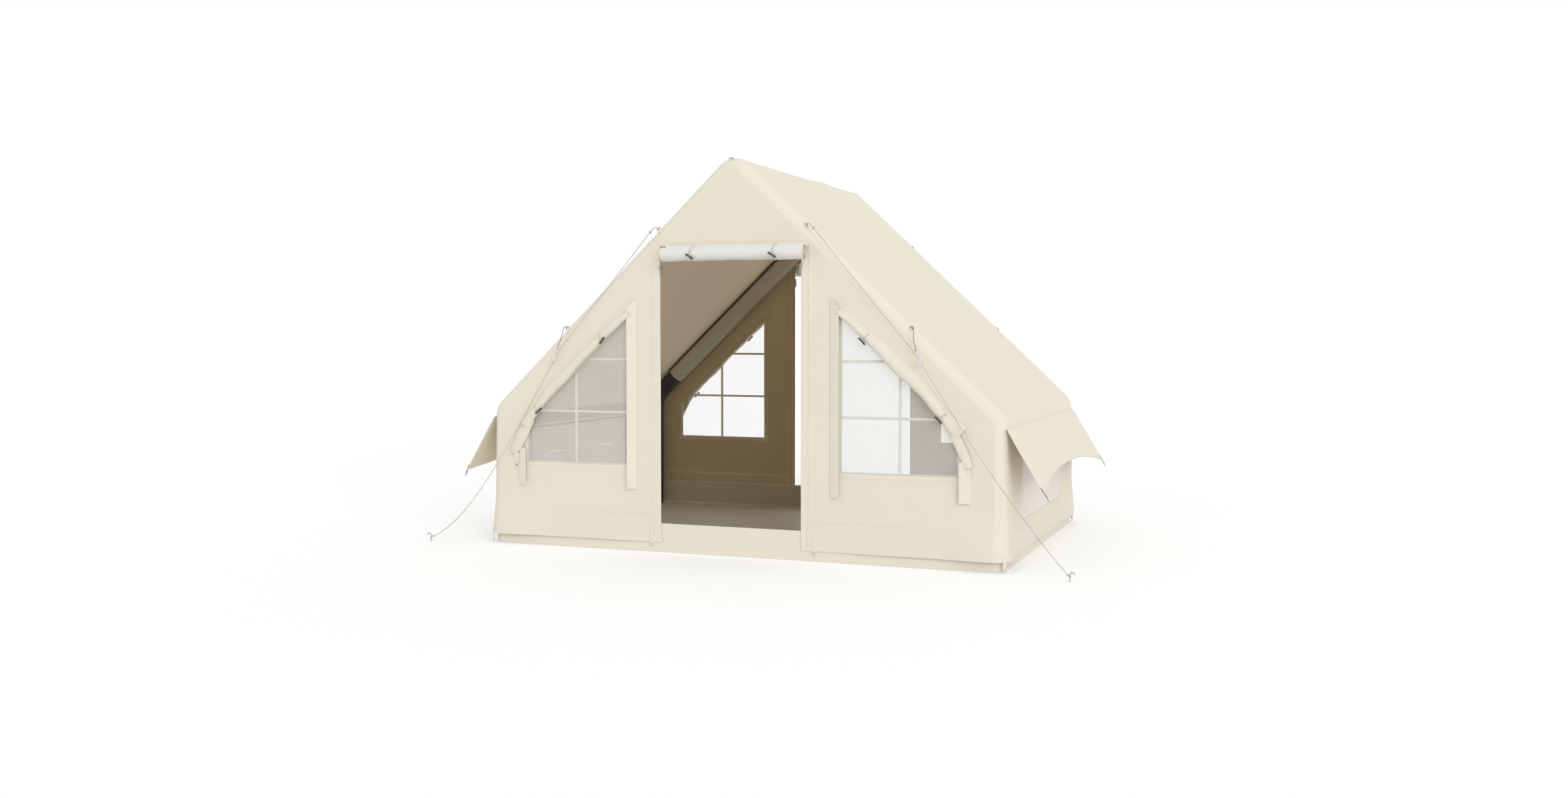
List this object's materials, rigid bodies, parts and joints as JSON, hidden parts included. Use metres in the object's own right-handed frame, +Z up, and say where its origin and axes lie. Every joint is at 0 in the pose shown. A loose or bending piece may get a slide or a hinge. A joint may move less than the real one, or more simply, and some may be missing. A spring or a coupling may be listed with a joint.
{
  "type": "inflatable cabin tent",
  "caption": "Cream canvas cabin tent on two inflated air beams, with an open roll-up door in each gable, pane windows, side awnings and front guy ropes.",
  "frame": {"origin": "middle of the floor, on the ground", "axes": "+X to the right as seen from the front, +Y from the front gable to the rear one, +Z up"},
  "size_m": [3.7828, 2.3229, 2.175],
  "materials": {
    "canvas": "matt woven cotton canvas",
    "roof_canvas": "matt proofed canvas",
    "groundsheet": "coated woven sheet",
    "beam_skin": "smooth welded film",
    "beam_sleeve": "plain woven",
    "window_film": "clear soft film",
    "side_mesh": "fine netting",
    "door_cloth": "matt woven",
    "toggle": "moulded",
    "zip_slider": "cast and plated",
    "valve": "moulded",
    "rope": "braided",
    "rope_fitting": "moulded",
    "peg": "bent wire"
  },
  "bodies": {
    "tent": {"front_gable": "canvas", "rear_gable": "canvas", "front_wall_left": "canvas", "front_wall_right": "canvas", "rear_wall_left": "canvas", "rear_wall_right": "canvas", "side_wall_left": "canvas", "side_wall_right": "canvas", "front_window_cover_left": "canvas", "front_window_cover_right": "canvas", "rear_window_cover_left": "canvas", "rear_window_cover_right": "canvas", "roof": "roof_canvas", "groundsheet": "groundsheet", "front_air_beam": "beam_skin", "rear_air_beam": "beam_skin", "ridge_spreader": "beam_skin", "front_beam_sleeve": "beam_sleeve", "rear_beam_sleeve": "beam_sleeve", "front_window_left": "window_film", "front_window_right": "window_film", "rear_window_left": "window_film", "rear_window_right": "window_film", "side_window_left": "side_mesh", "side_window_right": "side_mesh", "front_door_roll": "door_cloth", "rear_door_roll": "door_cloth", "front_valve_body": "valve", "rear_valve_body": "valve", "guy_rope_left": "rope", "guy_rope_right": "rope", "bridle_cord_left": "rope", "bridle_cord_right": "rope", "guy_ring_left": "rope_fitting", "guy_ring_right": "rope_fitting", "guy_peg_left": "peg", "guy_peg_right": "peg"},
    "front_cover_toggle_left_lower": {"front_cover_toggle_left_lower": "toggle"},
    "front_cover_toggle_left_upper": {"front_cover_toggle_left_upper": "toggle"},
    "front_cover_toggle_right_lower": {"front_cover_toggle_right_lower": "toggle"},
    "front_cover_toggle_right_upper": {"front_cover_toggle_right_upper": "toggle"},
    "front_door_toggle_left": {"front_door_toggle_left": "toggle"},
    "front_door_toggle_right": {"front_door_toggle_right": "toggle"},
    "rear_cover_toggle_left_lower": {"rear_cover_toggle_left_lower": "toggle"},
    "rear_cover_toggle_left_upper": {"rear_cover_toggle_left_upper": "toggle"},
    "rear_cover_toggle_right_lower": {"rear_cover_toggle_right_lower": "toggle"},
    "rear_cover_toggle_right_upper": {"rear_cover_toggle_right_upper": "toggle"},
    "rear_door_toggle_left": {"rear_door_toggle_left": "toggle"},
    "rear_door_toggle_right": {"rear_door_toggle_right": "toggle"},
    "front_valve_cap": {"front_valve_cap": "valve"},
    "rear_valve_cap": {"rear_valve_cap": "valve"},
    "guy_tensioner_left": {"guy_tensioner_left": "rope_fitting"},
    "guy_tensioner_right": {"guy_tensioner_right": "rope_fitting"},
    "awning_left": {"awning_left": "canvas"},
    "awning_right": {"awning_right": "canvas"},
    "front_zip_slider_left": {"front_zip_slider_left": "zip_slider"},
    "front_zip_slider_right": {"front_zip_slider_right": "zip_slider"},
    "rear_zip_slider_left": {"rear_zip_slider_left": "zip_slider"},
    "rear_zip_slider_right": {"rear_zip_slider_right": "zip_slider"}
  },
  "joints": [
    {"name": "awning_left_lift", "type": "hinge", "parent": "tent", "child": "awning_left", "pos_m": [-1.5138, 0, 0.73488], "axis": [0, 1, 0], "range_deg": [-28, 79]},
    {"name": "awning_right_lift", "type": "hinge", "parent": "tent", "child": "awning_right", "pos_m": [1.5138, 0, 0.73488], "axis": [0, -1, 0], "range_deg": [-28, 79]},
    {"name": "front_cover_toggle_left_lower_turn", "type": "hinge", "parent": "tent", "child": "front_cover_toggle_left_lower", "pos_m": [-1.17488, -1.09879, 0.77791], "axis": [0.5458, -0.7071, -0.4495], "range_deg": [-90, 90]},
    {"name": "front_cover_toggle_left_upper_turn", "type": "hinge", "parent": "tent", "child": "front_cover_toggle_left_upper", "pos_m": [-0.76302, -1.10049, 1.18131], "axis": [0.4675, -0.7071, -0.5305], "range_deg": [-90, 90]},
    {"name": "front_cover_toggle_right_lower_turn", "type": "hinge", "parent": "tent", "child": "front_cover_toggle_right_lower", "pos_m": [1.17488, -1.09879, 0.77791], "axis": [-0.5458, -0.7071, -0.4495], "range_deg": [-90, 90]},
    {"name": "front_cover_toggle_right_upper_turn", "type": "hinge", "parent": "tent", "child": "front_cover_toggle_right_upper", "pos_m": [0.76302, -1.10049, 1.18131], "axis": [-0.4675, -0.7071, -0.5305], "range_deg": [-90, 90]},
    {"name": "front_door_toggle_left_turn", "type": "hinge", "parent": "tent", "child": "front_door_toggle_left", "pos_m": [-0.205, -1.14304, 1.6372], "axis": [0, -0.9397, -0.342], "range_deg": [-90, 90]},
    {"name": "front_door_toggle_right_turn", "type": "hinge", "parent": "tent", "child": "front_door_toggle_right", "pos_m": [0.275, -1.14304, 1.6372], "axis": [0, -0.9397, -0.342], "range_deg": [-90, 90]},
    {"name": "rear_cover_toggle_left_lower_turn", "type": "hinge", "parent": "tent", "child": "rear_cover_toggle_left_lower", "pos_m": [-1.17488, 1.09879, 0.77791], "axis": [0.5458, 0.7071, -0.4495], "range_deg": [-90, 90]},
    {"name": "rear_cover_toggle_left_upper_turn", "type": "hinge", "parent": "tent", "child": "rear_cover_toggle_left_upper", "pos_m": [-0.76302, 1.10049, 1.18131], "axis": [0.4675, 0.7071, -0.5305], "range_deg": [-90, 90]},
    {"name": "rear_cover_toggle_right_lower_turn", "type": "hinge", "parent": "tent", "child": "rear_cover_toggle_right_lower", "pos_m": [1.19223, 1.0591, 0.7922], "axis": [0, 1, 0], "range_deg": [-90, 90]},
    {"name": "rear_cover_toggle_right_upper_turn", "type": "hinge", "parent": "tent", "child": "rear_cover_toggle_right_upper", "pos_m": [0.77835, 1.0591, 1.19871], "axis": [0, 1, 0], "range_deg": [-90, 90]},
    {"name": "rear_door_toggle_left_turn", "type": "hinge", "parent": "tent", "child": "rear_door_toggle_left", "pos_m": [-0.275, 1.14304, 1.6372], "axis": [0, 0.9397, -0.342], "range_deg": [-90, 90]},
    {"name": "rear_door_toggle_right_turn", "type": "hinge", "parent": "tent", "child": "rear_door_toggle_right", "pos_m": [0.205, 1.14304, 1.6372], "axis": [0, 0.9397, -0.342], "range_deg": [-90, 90]},
    {"name": "front_valve_cap_turn", "type": "hinge", "parent": "tent", "child": "front_valve_cap", "pos_m": [-1.40209, -0.94009, 0.35], "axis": [0.7071, 0.7071, 0], "range_deg": [0, 90]},
    {"name": "rear_valve_cap_turn", "type": "hinge", "parent": "tent", "child": "rear_valve_cap", "pos_m": [-1.40209, 0.94009, 0.35], "axis": [0.7071, -0.7071, 0], "range_deg": [0, 90]},
    {"name": "guy_tensioner_left_slide", "type": "slide", "parent": "tent", "child": "guy_tensioner_left", "axis": [-0.5143, -0.024, -0.8572], "range_m": [0, 0.17]},
    {"name": "guy_tensioner_right_slide", "type": "slide", "parent": "tent", "child": "guy_tensioner_right", "axis": [0.5507, -0.0234, -0.8344], "range_m": [0, 0.17]},
    {"name": "front_zip_slider_left_travel", "type": "slide", "parent": "tent", "child": "front_zip_slider_left", "axis": [0, 0, -1], "range_m": [0, 1.4]},
    {"name": "front_zip_slider_right_travel", "type": "slide", "parent": "tent", "child": "front_zip_slider_right", "axis": [0, 0, -1], "range_m": [0, 1.4]},
    {"name": "rear_zip_slider_left_travel", "type": "slide", "parent": "tent", "child": "rear_zip_slider_left", "axis": [0, 0, -1], "range_m": [0, 1.4]},
    {"name": "rear_zip_slider_right_travel", "type": "slide", "parent": "tent", "child": "rear_zip_slider_right", "axis": [0, 0, -1], "range_m": [0, 1.4]}
  ]
}
